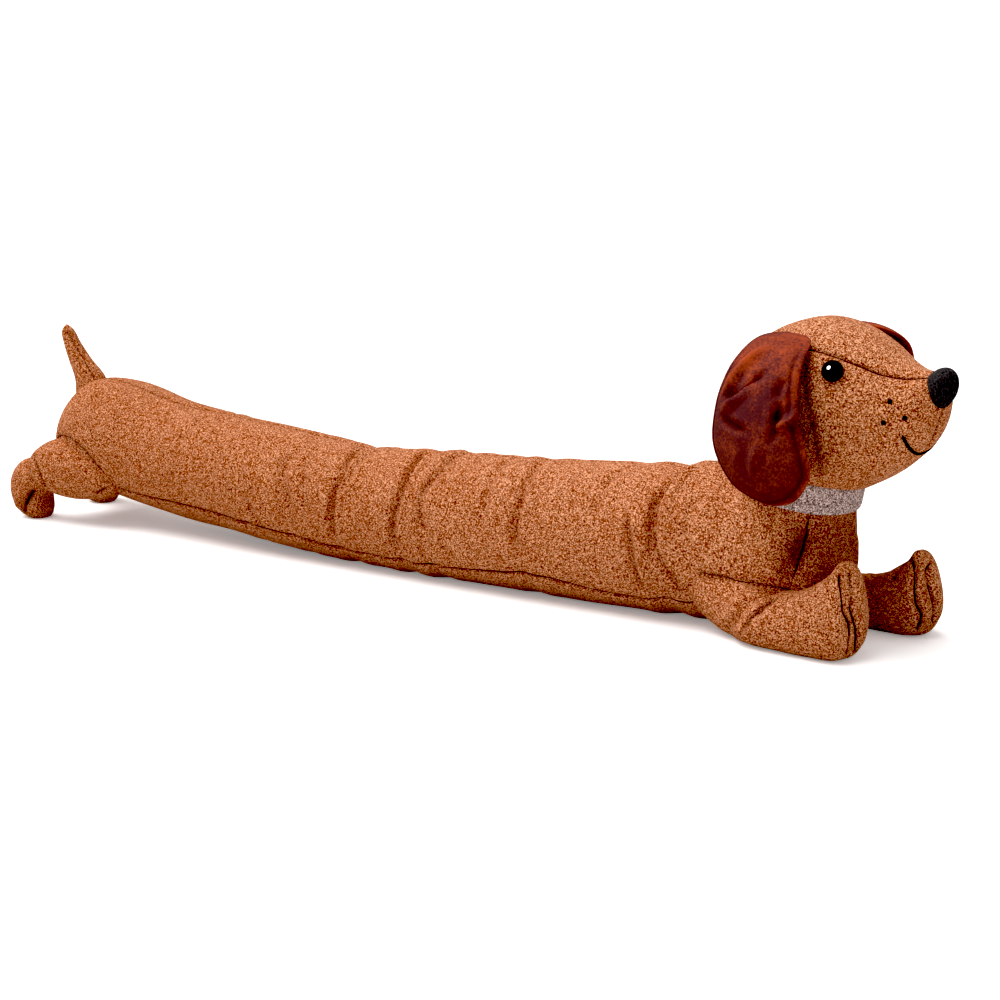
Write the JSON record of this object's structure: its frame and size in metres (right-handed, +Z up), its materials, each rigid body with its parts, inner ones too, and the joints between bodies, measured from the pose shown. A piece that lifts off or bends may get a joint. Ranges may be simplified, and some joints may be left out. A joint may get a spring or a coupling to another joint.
{
  "type": "draught excluder",
  "caption": "Plush dachshund draught excluder: a long stuffed tweed body with velvet ears, wool collar, black nose and eyes and a raised tail, lying stretched out along the floor.",
  "frame": {"origin": "middle of the footprint, on the floor", "axes": "+X along the animal from tail to nose, +Z up, +Y to the animal's left"},
  "size_m": [0.9542, 0.1862, 0.2446],
  "materials": {
    "tweed": "matt speckled heather tweed in tan and rust",
    "velvet": "short maroon-brown velvet pile",
    "collar_wool": "matt taupe melange wool",
    "nose_plush": "black short pile",
    "eye": "glossy black"
  },
  "bodies": {
    "root": {"body": "tweed", "head": "tweed", "collar": "collar_wool", "ear_right": "velvet", "ear_left": "velvet", "eye_right": "eye", "eye_left": "eye", "foreleg_right": "tweed", "foreleg_left": "tweed", "thigh_right": "tweed", "thigh_left": "tweed", "hind_foot_right": "tweed", "hind_foot_left": "tweed", "nose": "nose_plush", "tail": "tweed"}
  },
  "joints": []
}
